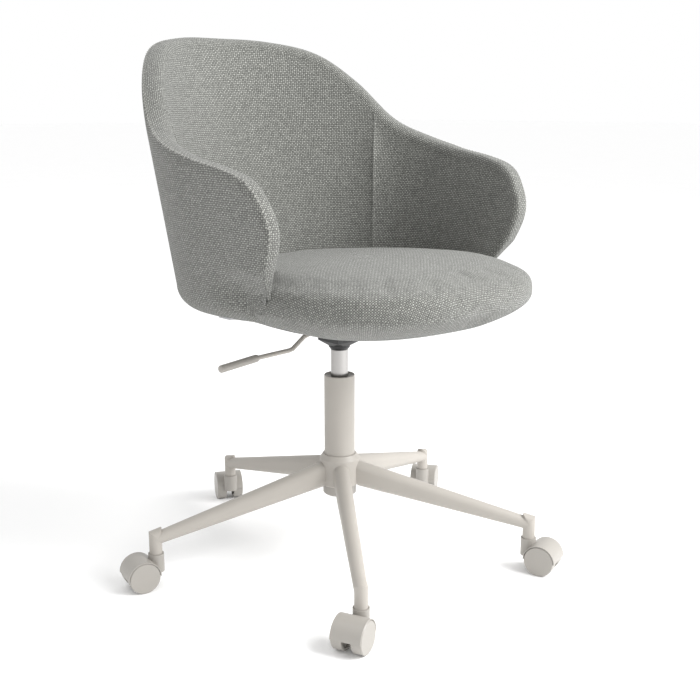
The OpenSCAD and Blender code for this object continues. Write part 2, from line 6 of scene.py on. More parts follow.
import bpy
import numpy as np
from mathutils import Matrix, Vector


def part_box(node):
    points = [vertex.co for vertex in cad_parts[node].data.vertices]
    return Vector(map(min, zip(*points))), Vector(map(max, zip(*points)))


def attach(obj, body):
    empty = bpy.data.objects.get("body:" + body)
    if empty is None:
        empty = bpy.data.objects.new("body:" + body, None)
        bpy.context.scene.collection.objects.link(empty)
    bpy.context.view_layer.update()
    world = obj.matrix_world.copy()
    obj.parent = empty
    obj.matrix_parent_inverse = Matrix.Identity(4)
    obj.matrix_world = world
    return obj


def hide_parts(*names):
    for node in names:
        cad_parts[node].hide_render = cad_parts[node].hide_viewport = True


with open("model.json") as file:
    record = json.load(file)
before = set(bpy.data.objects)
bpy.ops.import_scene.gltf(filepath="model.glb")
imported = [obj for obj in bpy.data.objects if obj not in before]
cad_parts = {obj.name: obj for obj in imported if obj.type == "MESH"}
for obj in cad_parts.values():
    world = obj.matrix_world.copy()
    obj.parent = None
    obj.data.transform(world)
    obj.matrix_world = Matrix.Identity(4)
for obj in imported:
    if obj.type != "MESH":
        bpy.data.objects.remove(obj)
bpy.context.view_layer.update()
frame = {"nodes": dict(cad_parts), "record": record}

# ---------------------------------------------------------------- sizes
# Metres. The shell's and the seat's surfaces follow the CAD's own formulas.

SHELL_HALF_W = 0.237
SHELL_DEPTH = 0.180
SHELL_FRONT = 0.780
SHELL_C = 0.019
SHELL_N = 2.0
HALF_T = 0.019
ARM_THIN = 0.011           # how much thinner the arms are, on their inner side
BACK_LEAN = 0.30
ARM_LEAN = 0.13
LEAN_Z = 0.440
SKIRT_Z = 0.470
SKIRT_R = 0.036
FOOT_PHI = 116.5
RIM = [
    (0, 0.830), (20, 0.827), (38, 0.809), (52, 0.763), (66, 0.698), (80, 0.667), (95, 0.648),
    (110, 0.639), (119, 0.627), (123, 0.605), (125.3, 0.571), (123, 0.531), (FOOT_PHI, 0.474),
]
END = len(RIM) - 1

ROLL_H = 0.017             # how far the rolled edge rises beyond the rim
ROLL_SLIM = 0.003          # how much less it rises at the arms' fronts
ROLL_N_OUT = 3.4           # squareness of its section on the outer side
ROLL_N_IN = 2.3            # and on the inner side
RIM_SEAM = math.radians(48)  # where the covers are sewn, from the outer side round the roll
CORNER_PHI = 61            # the sewn inner corners between back and arms
CORNER_DEPTH = 0.006
CORNER_W = 0.055
GROOVE_DEPTH = 0.0012
GROOVE_W = 0.0030
GROOVE_FADE = 0.02         # distance from the edge over which the corner's groove begins
VALLEY_START = 0.040       # distance from the edge where the corner's valley begins
VALLEY_RUN = 0.080
HEM_IN = (-0.030, -0.015)  # how far the hem's rows lie inside the skirt's lower edge
HEM_DROP = (0.0025, 0.0012)
COVER_T = 0.006            # foam-backed cover over the moulded core

MELT_START = -0.015        # in y, where the arm's foot begins to come in to the seat's side
MELT_RUN = 0.075
MELT_TOP = 0.520           # height below which it comes in
MELT_FALL = 0.050
MELT_SIDE_Z = 0.478        # highest level of the seat's side that it is brought to
MELT_PROUD = 0.0040        # how far outside the seat's side it stays
MELT_SINK = 0.0105         # how much deeper than that it ends at its front
SINK_START = -0.062
SINK_RUN = 0.034
FOOT_EASE = 60             # rounds of smoothing at the arm's foot
EASE_WEIGHT = 0.9
EASE_START = -0.070        # in y, where the smoothing begins
EASE_RUN = 0.030
EASE_TOP = 0.515           # height below which it acts
EASE_FALL = 0.025

SEAT_HALF_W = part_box("seat_cushion")[1].x
SEAT_FRONT = -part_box("seat_cushion")[0].y
SEAT_BACK = 0.194
SEAT_TOP_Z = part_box("seat_cushion")[1].z
SEAT_EDGE_Z = 0.457
SEAT_BOTTOM_Z = 0.392
SEAT_C = (SEAT_BACK - SEAT_FRONT) / 2
SEAT_HALF_D = (SEAT_BACK + SEAT_FRONT) / 2
SEAT_PLAN_N = 2.5
SEAT_TOP_N = 4.0
SEAT_LOW_N = 1.7
TUCK_START = -0.080        # in y, where the seat's side begins to pass inside the shell
TUCK_END = -0.045
SEAT_CLEAR = 0.0012
LEVER_ROOM = 0.006         # depth of the hollow under the seat that the lever lifts into
LEVER_Y = -0.012           # where that hollow runs, from the mechanism outward
LEVER_HALF_W = 0.034
LEVER_IN = -0.025          # in x, the hollow's inner and outer ends
LEVER_OUT = -0.155
LEVER_IN_RUN = 0.020
LEVER_OUT_RUN = 0.030
LEVER_UNDER = 0.025        # how far below the seat's edge the hollow stops
SEAT_DIP = 0.010           # how much lower the seat's top is at the back
DIP_START = -0.14
DIP_RUN = 0.26
TOP_RISE = 0.030           # height over which the seat's top turns from its side
VOXEL = 0.005
PINNED_H = 0.010           # height of the underside that air pressure leaves where it is
LAST_FRAME = 20
PUFF_LEAST = 0.0006        # how far air pressure moves the seat beside the shell
PUFF_MORE = 0.0034         # and how much further on its top and its front
PUFF_RUN = 0.100
PUFF_ABOVE = 0.010

THREAD_PITCH = 0.0075
THREAD_LENGTH = 0.0055
THREAD_R = 0.0006

WEAVE_CELL = 0.0030        # one crossing of the weave
WEAVE_Z = 0.62             # height at which the shell's weave has its true width
ROLL_COLUMNS = 25          # columns of the inner skin that lie on the rolled edge


# ------------------------------------------------------- small functions

def smoothstep(x):
    x = np.clip(x, 0, 1)
    return x * x * (3 - 2 * x)


def signed_pow(v, e):
    return np.sign(v) * np.abs(v) ** e


def unit(v):
    return v / np.linalg.norm(v, axis=-1, keepdims=True)


def arc_length(points, axis):
    """Distance run along a grid of points, from the first one."""
    steps = np.linalg.norm(np.diff(points, axis=axis), axis=-1)
    start = np.zeros_like(np.take(steps, [0], axis=axis))
    return np.cumsum(np.concatenate([start, steps], axis=axis), axis=axis)


def new_mesh(name, points, faces):
    mesh = bpy.data.meshes.new(name)
    mesh.from_pydata([tuple(p) for p in points], [], faces)
    mesh.polygons.foreach_set("use_smooth", [True] * len(mesh.polygons))
    mesh.update()
    piece = bpy.data.objects.new(name, mesh)
    bpy.context.scene.collection.objects.link(piece)
    return piece


def grid_faces(rows, columns):
    """Quads of a grid whose points run column by column within each row."""
    return [
        (r * columns + c, r * columns + c + 1, (r + 1) * columns + c + 1, (r + 1) * columns + c)
        for r in range(rows - 1) for c in range(columns - 1)
    ]


def grid_normals(points):
    return unit(np.cross(np.gradient(points, axis=0), np.gradient(points, axis=1)))


# ---------------------------------------------------------------- shell

def plan_xy(phi):
    """The shell's middle line in plan, by the angle in degrees from the middle of the back."""
    s, c = np.sin(np.radians(phi)), np.cos(np.radians(phi))
    depth = np.where(c >= 0, SHELL_DEPTH, SHELL_FRONT)
    r = ((np.abs(s) / SHELL_HALF_W) ** SHELL_N + (np.abs(c) / depth) ** SHELL_N) ** (-1 / SHELL_N)
    return np.stack([r * s, SHELL_C + r * c], -1)


def plan_out(phi):
    d = plan_xy(phi + 0.5) - plan_xy(phi - 0.5)
    return unit(np.stack([-d[..., 1], d[..., 0]], -1))


def shell_point(phi, z, o):
    """A point at distance o outside the middle surface, which leans out with height."""
    s = smoothstep(np.abs(phi) / 90)
    lean = BACK_LEAN * (1 - s) + ARM_LEAN * s
    shift = o + lean * (np.maximum(z, SKIRT_Z) - LEAN_Z)
    p = plan_xy(phi) + plan_out(phi) * shift[..., None]
    return np.concatenate([p, z[..., None]], -1)


def rim(k):
    """Angle and height of the rim at station k, on a smooth curve through RIM."""
    table = np.array(RIM)
    mirrored = table[1] * (-1, 1)
    knots = np.vstack([mirrored, table, 2 * table[-1] - table[-2]])
    i = np.minimum(np.floor(np.abs(k)), END - 1).astype(int)
    t = (np.abs(k) - i)[..., None]
    a, b, c, d = (knots[i + j] for j in range(4))
    p = (2 * b + (c - a) * t + (2 * a - 5 * b + 4 * c - d) * t ** 2
         + (3 * b - a - 3 * c + d) * t ** 3) / 2
    return p[..., 0] * np.where(k < 0, -1, 1), p[..., 1]


def foot(k):
    """Angle of station k at the skirt: straight below the rim round the back, fanned at the arms."""
    fanned = FOOT_PHI * np.sin(math.pi / 2 * k / END)
    w = smoothstep((np.abs(k) - 4) / 3)
    return rim(k)[0] * (1 - w) + fanned * w


def inner_t(phi):
    """Distance of the inner face inside the middle surface: the arms are thinner than the back."""
    return HALF_T - ARM_THIN * smoothstep((np.abs(phi) - 60) / 50)


def rib(k, v, o):
    """Points of stations k at fractions v of the way from the skirt to the rim."""
    k, v = np.broadcast_arrays(k, v)
    phi, z = rim(k)
    return shell_point(foot(k) + (phi - foot(k)) * v, SKIRT_Z + (z - SKIRT_Z) * v,
                       np.broadcast_to(o, k.shape))


def roll_height(phi):
    """How far the rolled edge rises beyond the rim: less at the arms' fronts."""
    return ROLL_H - ROLL_SLIM * smoothstep((np.abs(phi) - 95) / 20)


def rolled(k, angle):
    """Points of the rolled edge, by the angle from its outer side round to its inner side."""
    k, angle = np.broadcast_arrays(k, angle)
    phi = rim(k)[0]
    step = 0.05
    along = rib(np.minimum(k + step, END), 1, 0.0) - rib(np.maximum(k - step, -END), 1, 0.0)
    out = np.concatenate([plan_out(phi), np.zeros(k.shape + (1,))], -1)
    up = -unit(np.cross(out, along))
    side = np.where(np.cos(angle) > 0, HALF_T, inner_t(phi))
    n = np.where(np.cos(angle) > 0, ROLL_N_OUT, ROLL_N_IN)
    o = side * signed_pow(np.cos(angle), 2 / n)
    h = roll_height(phi) * signed_pow(np.sin(angle), 2 / n)
    return rib(k, 1, o) + up * h[..., None]


def skirt(k, angle):
    """Points of the skirt as it turns under, by angle from the outer side."""
    k, angle = np.broadcast_arrays(k, angle)
    o = HALF_T - SKIRT_R + SKIRT_R * np.cos(angle)
    p = shell_point(foot(k), np.full(k.shape, SKIRT_Z), o)
    p[..., 2] = SKIRT_Z - SKIRT_R * np.sin(angle)
    return p


def stations():
    """Station numbers from the left arm's foot to the right one's, closer at the inner corners."""
    even = np.linspace(0, END, 8 * END + 1)
    turn = np.interp(CORNER_PHI, [rim(np.array(k))[0] for k in even[:60]], even[:60])
    near = turn + np.array([-0.3, -0.18, -0.12, -0.08, -0.05, -0.03, -0.015, 0]) / 2
    near = np.concatenate([near, 2 * turn - near[:-1]])
    even = even[(even < near.min() - 0.02) | (even > near.max() + 0.02)]
    half = np.sort(np.concatenate([even, near]))
    return np.concatenate([-half[:0:-1], half])


def seat_side_x(y, z):
    """Half the seat's width at y and z."""
    up = np.clip((z - SEAT_EDGE_Z) / (SEAT_TOP_Z - SEAT_EDGE_Z), 0, 1)
    down = np.clip((SEAT_EDGE_Z - z) / (SEAT_EDGE_Z - SEAT_BOTTOM_Z), 0, 1)
    rho = np.minimum((1 - up ** SEAT_TOP_N) ** (1 / SEAT_TOP_N),
                     (1 - down ** SEAT_LOW_N) ** (1 / SEAT_LOW_N))
    along = np.clip(np.abs(y - SEAT_C) / (SEAT_HALF_D * np.maximum(rho, 0.01)), 0, 1)
    return SEAT_HALF_W * rho * (1 - along ** SEAT_PLAN_N) ** (1 / SEAT_PLAN_N)


def melt_into_seat(p):
    """Brings the arm's foot in until its outer side passes smoothly into the seat's."""
    y, z = p[..., 1], p[..., 2]
    w = smoothstep((MELT_START - y) / MELT_RUN) * smoothstep((MELT_TOP - z) / MELT_FALL)
    sunk = MELT_SINK * smoothstep((SINK_START - y) / SINK_RUN)
    flush = seat_side_x(y, np.minimum(z, MELT_SIDE_Z)) + MELT_PROUD - sunk
    x = np.abs(p[..., 0])
    q = p.copy()
    q[..., 0] = np.sign(p[..., 0]) * np.where(x > flush, x + (flush - x) * w, x)
    return q


def outer_skin(k):
    k = k[:, None]
    turn = np.linspace(math.pi / 2, 0, 12)[None, :-1]
    rise = np.linspace(0, 1, 26)[None, :-1]
    sewn = RIM_SEAM * np.array([[0, 0.03, 0.1, 0.2, 0.35, 0.5, 0.65, 0.8, 0.92, 1]])
    inward = np.array([HEM_IN])
    level = SKIRT_Z + 0 * (k + inward)
    hem = shell_point(foot(k + 0 * inward), level, HALF_T - SKIRT_R + inward + 0 * k)
    hem[..., 2] = SKIRT_Z - SKIRT_R - np.array(HEM_DROP)
    return np.concatenate([hem, skirt(k, turn), rib(k, rise, HALF_T), rolled(k, sewn)], 1)


def inner_skin(k):
    k = k[:, None]
    sewn = RIM_SEAM + (math.pi - RIM_SEAM) * np.linspace(0, 1, ROLL_COLUMNS + 1)[None, :]
    fall = np.linspace(1, 0, 30)[None, 1:]
    inside = -inner_t(rim(k)[0])
    low = shell_point(foot(k), np.full(k.shape, SKIRT_Z), inside)
    low[..., 2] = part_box("shell_inner_pad")[0].z
    return np.concatenate([rolled(k, sewn), rib(k, fall, inside), low], 1)


def press(p, distance, depth, width):
    """Presses a grid in along its normals, most where the distance is nought."""
    return p - grid_normals(p) * (depth * np.exp(-(distance / width) ** 2))[..., None]


def corner_distance(p, k):
    """Distance along each row from the nearer inner corner."""
    run = arc_length(p, 0)
    phi = rim(k)[0]
    left = run[np.argmin(np.abs(phi + CORNER_PHI))]
    right = run[np.argmin(np.abs(phi - CORNER_PHI))]
    return np.minimum(np.abs(run - left), np.abs(run - right))


def eased(p):
    """Smooths the arm's foot, where the covers are drawn in to the seat."""
    y, z = p[..., 1:2], p[..., 2:3]
    w = EASE_WEIGHT * smoothstep((EASE_START - y) / EASE_RUN) * smoothstep((EASE_TOP - z) / EASE_FALL)
    for _ in range(FOOT_EASE):
        mean = p.copy()
        mean[1:-1, 1:-1] = (p[:-2, 1:-1] + p[2:, 1:-1] + p[1:-1, :-2] + p[1:-1, 2:]) / 4
        p = p + (mean - p) * w
    return p


def shell_covers():
    k = stations()
    outer, inner = outer_skin(k), inner_skin(k)
    joined = eased(melt_into_seat(np.concatenate([outer, inner[:, 1:]], 1)))
    outer, inner = joined[:, :outer.shape[1]], joined[:, outer.shape[1] - 1:]
    across = arc_length(outer, 1)
    outer = press(outer, across[:, -1:] - across, GROOVE_DEPTH, GROOVE_W)

    across = arc_length(inner, 1)
    from_corner = corner_distance(inner, k)
    fade = smoothstep((across - VALLEY_START) / VALLEY_RUN)
    valley = CORNER_DEPTH * np.maximum(1 - from_corner / CORNER_W, 0) ** 2 * fade
    inner = inner - grid_normals(inner) * valley[..., None]
    begun = smoothstep((across - GROOVE_FADE) / GROOVE_FADE)
    inner = press(inner, from_corner, GROOVE_DEPTH * begun, GROOVE_W)
    inner = press(inner, across, GROOVE_DEPTH, GROOVE_W)
    return k, outer, inner


def lay_weave(p, strip_columns):
    """Places the weave: upright over the shell's body, and along the edge on the rolled strip."""
    phi = np.linspace(-140, 140, 561)
    run = arc_length(shell_point(phi, np.full(phi.shape, WEAVE_Z), 0.0), 0)
    turned = np.degrees(np.arctan2(p[..., 0], p[..., 1] - SHELL_C))
    across = arc_length(p, 1)
    at_skirt = np.take_along_axis(across, np.argmin(np.abs(p[..., 2] - SKIRT_Z), 1)[:, None], 1)
    rise = np.where(p[..., 2] > SKIRT_Z, p[..., 2] - SKIRT_Z, -np.abs(across - at_skirt))
    body = np.stack([np.interp(turned, phi, run), rise], -1)
    edge = arc_length(p[:, strip_columns // 2], 0)
    strip = np.stack([np.broadcast_to(edge[:, None], across.shape), across], -1)
    return body, strip


def cover(name, skin, strip_columns):
    """A cover of even thickness with this outer surface; its first columns are the rolled strip."""
    rows, columns = skin.shape[:2]
    piece = new_mesh(name, skin.reshape(-1, 3), grid_faces(rows, columns))
    body, strip = (uv.reshape(-1, 2) for uv in lay_weave(skin, strip_columns))
    corner = np.zeros(len(piece.data.loops), int)
    piece.data.loops.foreach_get("vertex_index", corner)
    on_strip = np.repeat(np.arange((rows - 1) * (columns - 1)) % (columns - 1) < strip_columns, 4)
    layer = piece.data.uv_layers.new(name="weave")
    layer.data.foreach_set("uv", np.where(on_strip[:, None], strip[corner], body[corner]).ravel())
    solid = piece.modifiers.new("thickness", "SOLIDIFY")
    solid.thickness = COVER_T
    solid.offset = -1
    return piece


# ----------------------------------------------------------------- seat

def seat_profile(count):
    """Fractions of the plan and heights, from the middle of the underside to the middle of the top."""
    low = np.linspace(-math.pi / 2, 0, count)
    high = np.linspace(0, math.pi / 2, count)[1:]
    rho = np.concatenate([np.cos(low) ** (2 / SEAT_LOW_N), np.cos(high).clip(0) ** (2 / SEAT_TOP_N)])
    z = np.concatenate([
        SEAT_EDGE_Z - (SEAT_EDGE_Z - SEAT_BOTTOM_Z) * np.abs(np.sin(low)) ** (2 / SEAT_LOW_N),
        SEAT_EDGE_Z + (SEAT_TOP_Z - SEAT_EDGE_Z) * np.sin(high) ** (2 / SEAT_TOP_N)])
    return rho, z


def tucked(x, y, z):
    """Draws plan points in so that they stay inside the shell, behind the arms' feet."""
    rise = np.maximum(z, SKIRT_Z) - LEAN_Z
    half_w = SHELL_HALF_W - HALF_T + ARM_THIN - SEAT_CLEAR + ARM_LEAN * rise
    depth = SHELL_DEPTH - HALF_T - SEAT_CLEAR + BACK_LEAN * rise
    dy = y - SHELL_C
    behind = ((np.abs(x) / half_w) ** SHELL_N + (np.maximum(dy, 0) / depth) ** SHELL_N) ** (1 / SHELL_N)
    w = smoothstep((y - TUCK_START) / (TUCK_END - TUCK_START))
    s = 1 + (1 / np.maximum(behind, 1) - 1) * w
    return x * s, np.where(dy > 0, SHELL_C + dy * s, y)


def dipped(y, z):
    """Lowers the seat's top towards the back."""
    top = smoothstep((z - SEAT_EDGE_Z) / TOP_RISE)
    return z - SEAT_DIP * top * smoothstep((y - DIP_START) / DIP_RUN)


def seat_form():
    """Closed form of the seat, a little smaller than it ends up."""
    turns = 144
    rho, z = seat_profile(22)
    rho, z = rho[1:-1], z[1:-1]
    u = np.linspace(0, 2 * math.pi, turns, endpoint=False)
    x = SEAT_HALF_W * rho[:, None] * signed_pow(np.cos(u), 2 / SEAT_PLAN_N)
    y = SEAT_C + SEAT_HALF_D * rho[:, None] * signed_pow(np.sin(u), 2 / SEAT_PLAN_N)
    z = np.broadcast_to(z[:, None], x.shape)
    x, y = tucked(x, y, z)
    z = dipped(y, z)
    rows = len(rho)
    ring = np.stack([x, y, z], -1).reshape(-1, 3)
    faces = [
        (r * turns + c, r * turns + (c + 1) % turns,
         (r + 1) * turns + (c + 1) % turns, (r + 1) * turns + c)
        for r in range(rows - 1) for c in range(turns)
    ]
    low, high = len(ring), len(ring) + 1
    faces += [(low, (c + 1) % turns, c) for c in range(turns)]
    last = (rows - 1) * turns
    faces += [(high, last + c, last + (c + 1) % turns) for c in range(turns)]
    middles = [(0, SEAT_C, SEAT_BOTTOM_Z), (0, SEAT_C, float(dipped(SEAT_C, SEAT_TOP_Z)))]
    return new_mesh("seat_cover", np.vstack([ring, middles]), faces)


def apply_modifiers(piece):
    graph = bpy.context.evaluated_depsgraph_get()
    graph.update()
    mesh = bpy.data.meshes.new_from_object(piece.evaluated_get(graph))
    piece.modifiers.clear()
    piece.data = mesh


def mesh_points(mesh):
    points = np.zeros(len(mesh.vertices) * 3)
    mesh.vertices.foreach_get("co", points)
    return points.reshape(-1, 3)


def puffed(piece):
    """Lets air pressure round the seat out by cloth simulation, and applies the result."""
    remesh = piece.modifiers.new("voxels", "REMESH")
    remesh.mode = "VOXEL"
    remesh.voxel_size = VOXEL
    remesh.use_smooth_shade = True
    apply_modifiers(piece)
    relax = piece.modifiers.new("relax", "SMOOTH")
    relax.factor = 0.5
    relax.iterations = 6
    apply_modifiers(piece)
    start = mesh_points(piece.data)

    flat = piece.vertex_groups.new(name="flat")
    flat.add([int(i) for i in np.nonzero(start[:, 2] < SEAT_BOTTOM_Z + PINNED_H)[0]], 1, "REPLACE")
    cloth = piece.modifiers.new("cloth", "CLOTH")
    cloth.settings.quality = 4
    cloth.settings.mass = 0.3
    cloth.settings.tension_stiffness = 40
    cloth.settings.compression_stiffness = 40
    cloth.settings.shear_stiffness = 20
    cloth.settings.bending_stiffness = 2
    cloth.settings.use_pressure = True
    cloth.settings.uniform_pressure_force = 4
    cloth.settings.effector_weights.gravity = 0
    cloth.settings.vertex_group_mass = "flat"
    cloth.point_cache.frame_start = 1
    cloth.point_cache.frame_end = LAST_FRAME
    for step in range(1, LAST_FRAME + 1):
        bpy.context.scene.frame_set(step)
    apply_modifiers(piece)
    piece.vertex_groups.clear()
    bpy.context.scene.frame_set(1)
    return start


def lever_room(p):
    """How far the seat's underside is hollowed, over the lever's rod."""
    x, y, z = p.T
    along = smoothstep((LEVER_IN - x) / LEVER_IN_RUN) * smoothstep((x - LEVER_OUT) / LEVER_OUT_RUN)
    across = np.maximum(1 - ((y - LEVER_Y) / LEVER_HALF_W) ** 2, 0) ** 1.5
    return LEVER_ROOM * along * across * (z < SEAT_EDGE_Z - LEVER_UNDER)


def seat_cover():
    """The seat's cover: let out by air pressure, less beside the shell, and hollowed for the lever."""
    piece = seat_form()
    start = puffed(piece)
    moved = mesh_points(piece.data) - start
    travel = np.linalg.norm(moved, axis=1, keepdims=True)
    ahead = smoothstep((TUCK_START - start[:, 1]) / PUFF_RUN)
    above = smoothstep((start[:, 2] - SEAT_EDGE_Z - PUFF_ABOVE) / TOP_RISE)
    cap = PUFF_LEAST + PUFF_MORE * np.maximum(ahead, above)[:, None]
    points = start + moved * np.minimum(1, cap / np.maximum(travel, 1e-9))
    points[:, 2] += lever_room(points)
    piece.data.vertices.foreach_set("co", points.ravel())
    piece.data.polygons.foreach_set("use_smooth", [True] * len(piece.data.polygons))
    seat_weave_map(piece)
    finer = piece.modifiers.new("finer", "SUBSURF")
    finer.levels = 1
    finer.render_levels = 1
    return piece


def seat_weave_map(piece):
    """Runs the weave straight over the seat's top, and round its underside."""
    mesh = piece.data
    layer = mesh.uv_layers.new(name="weave")
    corner = np.zeros(len(mesh.loops), int)
    mesh.loops.foreach_get("vertex_index", corner)
    sizes = np.zeros(len(mesh.polygons), int)
    mesh.polygons.foreach_get("loop_total", sizes)
    centres = np.zeros(len(mesh.polygons) * 3)
    mesh.polygons.foreach_get("center", centres)
    on_top = np.repeat(centres.reshape(-1, 3)[:, 2] > SEAT_EDGE_Z - 0.004, sizes)
    x, y, z = mesh_points(mesh)[corner].T
    y = y - SEAT_C
    rho = ((np.abs(x) / SEAT_HALF_W) ** SEAT_PLAN_N + (np.abs(y) / SEAT_HALF_D) ** SEAT_PLAN_N)
    rho = np.clip(rho, 1e-6, None) ** (1 / SEAT_PLAN_N)
    up = np.clip((z - SEAT_EDGE_Z) / (SEAT_TOP_Z - SEAT_EDGE_Z), 0, None)
    down = np.clip((SEAT_EDGE_Z - z) / (SEAT_EDGE_Z - SEAT_BOTTOM_Z), 0, None)
    angle = np.where(z > SEAT_EDGE_Z, np.arctan2(up ** (SEAT_TOP_N / 2), rho ** (SEAT_TOP_N / 2)),
                     -np.arctan2(down ** (SEAT_LOW_N / 2), rho ** (SEAT_LOW_N / 2)))
    table = np.linspace(-math.pi / 2, math.pi / 2, 241)
    half = np.abs(table)
    n = np.where(table > 0, SEAT_TOP_N, SEAT_LOW_N)
    tall = np.where(table > 0, SEAT_TOP_Z - SEAT_EDGE_Z, SEAT_EDGE_Z - SEAT_BOTTOM_Z)
    line = np.stack([SEAT_HALF_W * np.cos(half).clip(0) ** (2 / n),
                     np.sign(table) * tall * np.sin(half) ** (2 / n)], -1)
    run = arc_length(line, 0)
    from_middle = np.interp(angle, table, run[-1] - run)
    stretch = from_middle / (rho * SEAT_HALF_W)
    turn = np.arctan2(x, -y)
    u = np.where(on_top, x * stretch, turn * SEAT_HALF_W)
    v = np.where(on_top, y * stretch, from_middle)
    layer.data.foreach_set("uv", np.stack([u, v], -1).ravel())


# ------------------------------------------------------------- stitches

def stitches(name, line, normals, pitch, length, radius):
    """Short threads laid across a seam at even steps, half sunk in the cloth."""
    run = arc_length(line, 0)
    count = int(run[-1] / pitch)
    at = (np.arange(count) + 0.5) * pitch
    place = np.stack([np.interp(at, run, line[:, i]) for i in range(3)], -1)
    out = unit(np.stack([np.interp(at, run, normals[:, i]) for i in range(3)], -1))
    along = unit(np.gradient(place, axis=0))
    across = unit(np.cross(out, along))
    lay = unit(across + 0.55 * along)
    side = unit(np.cross(out, lay))
    sides, rings = 6, np.linspace(-1, 1, 5)
    points, faces = [], []
    for p, o, l, s in zip(place, out, lay, side):
        first = len(points)
        for t in rings:
            r = radius * math.sqrt(max(1 - 0.85 * t ** 4, 0.1))
            centre = p + l * (t * length / 2) + o * radius * (0.9 - 1.5 * t * t)
            for a in range(sides):
                turn = 2 * math.pi * a / sides
                points.append(centre + s * r * math.cos(turn) + o * r * math.sin(turn))
        for i in range(len(rings) - 1):
            for a in range(sides):
                b = (a + 1) % sides
                q = first + i * sides
                faces.append((q + a, q + b, q + sides + b, q + sides + a))
        faces.append([first + a for a in range(sides)][::-1])
        faces.append([first + (len(rings) - 1) * sides + a for a in range(sides)])
    return new_mesh(name, points, faces)


# ------------------------------------------------------------ materials

class Nodes:
    """Short ways to add shader nodes to one material."""

    def __init__(self, name):
        self.material = bpy.data.materials.new(name)
        self.material.use_nodes = True
        self.tree = self.material.node_tree
        self.shader = self.tree.nodes["Principled BSDF"]

    def put(self, socket, value):
        if isinstance(value, bpy.types.NodeSocket):
            self.tree.links.new(value, socket)
        elif value is not None:
            socket.default_value = value

    def add(self, kind, inputs=(), **settings):
        node = self.tree.nodes.new("ShaderNode" + kind)
        for key, value in settings.items():
            setattr(node, key, value)
        for socket, value in dict(inputs).items():
            self.put(node.inputs[socket], value)
        return node

    def math(self, operation, a, b=None, c=None):
        node = self.add("Math", operation=operation)
        for socket, value in zip(node.inputs, (a, b, c)):
            self.put(socket, value)
        return node.outputs[0]

    def noise(self, vector, scale, detail=2.0, roughness=0.5, dimensions="3D"):
        node = self.add("TexNoise", {"Scale": scale, "Detail": detail, "Roughness": roughness},
                        noise_dimensions=dimensions)
        self.put(node.inputs["Vector"], vector)
        return node

    def place(self):
        """Object coordinates, in metres."""
        return self.add("TexCoord").outputs["Object"]

    def spread(self, value, low, high):
        """Maps 0 to 1 onto low to high."""
        return self.add("MapRange", {"Value": value, "To Min": low, "To Max": high}).outputs[0]

    def mix(self, factor, a, b):
        node = self.add("Mix", data_type="RGBA")
        for name, value in (("Factor", factor), ("A", a), ("B", b)):
            sockets = [s for s in node.inputs if s.name == name and s.enabled]
            self.put(sockets[0], value)
        return [s for s in node.outputs if s.enabled][0]

    def bump(self, height, distance, strength=1.0):
        node = self.add("Bump", {"Strength": strength, "Distance": distance, "Height": height})
        self.put(self.shader.inputs["Normal"], node.outputs[0])

    def set(self, **values):
        for name, value in values.items():
            self.put(self.shader.inputs[name.replace("_", " ")], value)


def shade(red, green, blue):
    """A colour given in the usual 0 to 255 screen values."""
    linear = [((c / 255 + 0.055) / 1.055) ** 2.4 for c in (red, green, blue)]
    return (*linear, 1)


